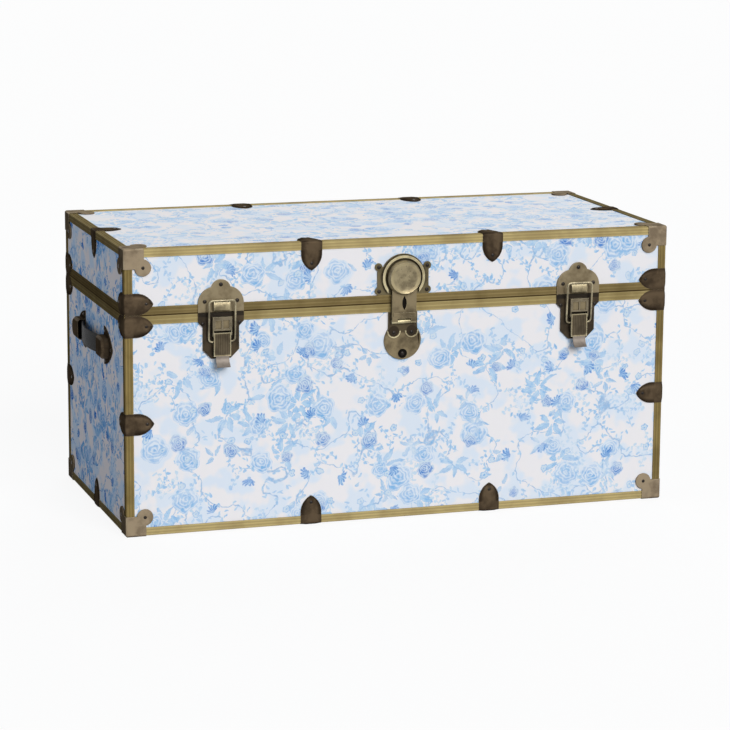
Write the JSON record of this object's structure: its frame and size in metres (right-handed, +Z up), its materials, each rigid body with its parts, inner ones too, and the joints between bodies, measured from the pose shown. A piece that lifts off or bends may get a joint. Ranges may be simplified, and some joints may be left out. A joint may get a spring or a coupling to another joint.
{
  "type": "storage trunk",
  "caption": "Low printed storage trunk with a hinged lid, ridged brass edges, stamped corner caps, two draw-bolt latches, a centre hasp and strap end handles.",
  "frame": {"origin": "on the floor, under the middle of the trunk", "axes": "+X along the width to the right as seen from the front, -Y out of the front, +Z up"},
  "size_m": [0.7856, 0.3803, 0.384],
  "materials": {
    "printed_board": "matte printed covering",
    "edge_brass": "satin",
    "stamped_bronze": "satin bronze",
    "antique_brass": "aged",
    "steel_wire": "brassed",
    "strap_leather": "smooth black"
  },
  "bodies": {
    "box": {"bottom_panel": "printed_board", "front_panel": "printed_board", "back_panel": "printed_board", "left_panel": "printed_board", "right_panel": "printed_board", "front_bottom_binding": "edge_brass", "back_bottom_binding": "edge_brass", "left_bottom_binding": "edge_brass", "right_bottom_binding": "edge_brass", "body_corner_bindings": "edge_brass", "front_body_rim": "edge_brass", "back_body_rim": "edge_brass", "left_body_rim": "edge_brass", "right_body_rim": "edge_brass", "bottom_corner_caps": "stamped_bronze", "bottom_edge_clamps": "stamped_bronze", "mid_corner_clamps": "stamped_bronze", "body_closure_clamps": "stamped_bronze", "left_latch_base": "antique_brass", "right_latch_base": "antique_brass", "left_latch_pin": "steel_wire", "right_latch_pin": "steel_wire", "left_handle_caps": "antique_brass", "right_handle_caps": "antique_brass", "hasp_lower_plate": "antique_brass", "hasp_pin": "steel_wire", "hinge_body_leaves": "antique_brass", "hinge_pins": "steel_wire"},
    "lid": {"lid_top_panel": "printed_board", "lid_front_panel": "printed_board", "lid_back_panel": "printed_board", "lid_left_panel": "printed_board", "lid_right_panel": "printed_board", "lid_front_binding": "edge_brass", "lid_back_binding": "edge_brass", "lid_left_binding": "edge_brass", "lid_right_binding": "edge_brass", "lid_corner_bindings": "edge_brass", "lid_front_rim": "edge_brass", "lid_back_rim": "edge_brass", "lid_left_rim": "edge_brass", "lid_right_rim": "edge_brass", "lid_corner_caps": "stamped_bronze", "lid_edge_clamps": "stamped_bronze", "lid_closure_clamps": "stamped_bronze", "left_latch_catch": "antique_brass", "right_latch_catch": "antique_brass", "lid_lock_plate": "antique_brass", "hinge_lid_leaves": "antique_brass"},
    "left_lever": {"left_latch_lever": "antique_brass"},
    "right_lever": {"right_latch_lever": "antique_brass"},
    "left_bail": {"left_latch_bail": "steel_wire"},
    "right_bail": {"right_latch_bail": "steel_wire"},
    "hasp": {"hasp": "antique_brass"},
    "left_strap": {"left_handle_strap": "strap_leather"},
    "right_strap": {"right_handle_strap": "strap_leather"}
  },
  "joints": [
    {"name": "lid_hinge", "type": "hinge", "parent": "box", "child": "lid", "pos_m": [0, 0.1825, 0.2955], "axis": [-1, 0, 0], "range_deg": [0, 100]},
    {"name": "left_lever_hinge", "type": "hinge", "parent": "box", "child": "left_lever", "pos_m": [-0.251, -0.184, 0.2673], "axis": [-1, 0, 0], "range_deg": [0, 105]},
    {"name": "left_bail_hinge", "type": "hinge", "parent": "left_lever", "child": "left_bail", "pos_m": [-0.251, -0.184, 0.2568], "axis": [-1, 0, 0], "range_deg": [-105, 0]},
    {"name": "right_lever_hinge", "type": "hinge", "parent": "box", "child": "right_lever", "pos_m": [0.251, -0.184, 0.2673], "axis": [-1, 0, 0], "range_deg": [0, 105]},
    {"name": "right_bail_hinge", "type": "hinge", "parent": "right_lever", "child": "right_bail", "pos_m": [0.251, -0.184, 0.2568], "axis": [-1, 0, 0], "range_deg": [-105, 0]},
    {"name": "hasp_hinge", "type": "hinge", "parent": "box", "child": "hasp", "pos_m": [0, -0.1832, 0.2708], "axis": [1, 0, 0], "range_deg": [0, 160]},
    {"name": "left_strap_play", "type": "slide", "parent": "box", "child": "left_strap", "axis": [-1, 0, 0], "range_m": [0, 0.004]},
    {"name": "right_strap_play", "type": "slide", "parent": "box", "child": "right_strap", "axis": [1, 0, 0], "range_m": [0, 0.004]}
  ],
  "couplings": [
    {"joint": "left_bail_hinge", "follows": "left_lever_hinge", "ratio": -1},
    {"joint": "right_bail_hinge", "follows": "right_lever_hinge", "ratio": -1}
  ]
}
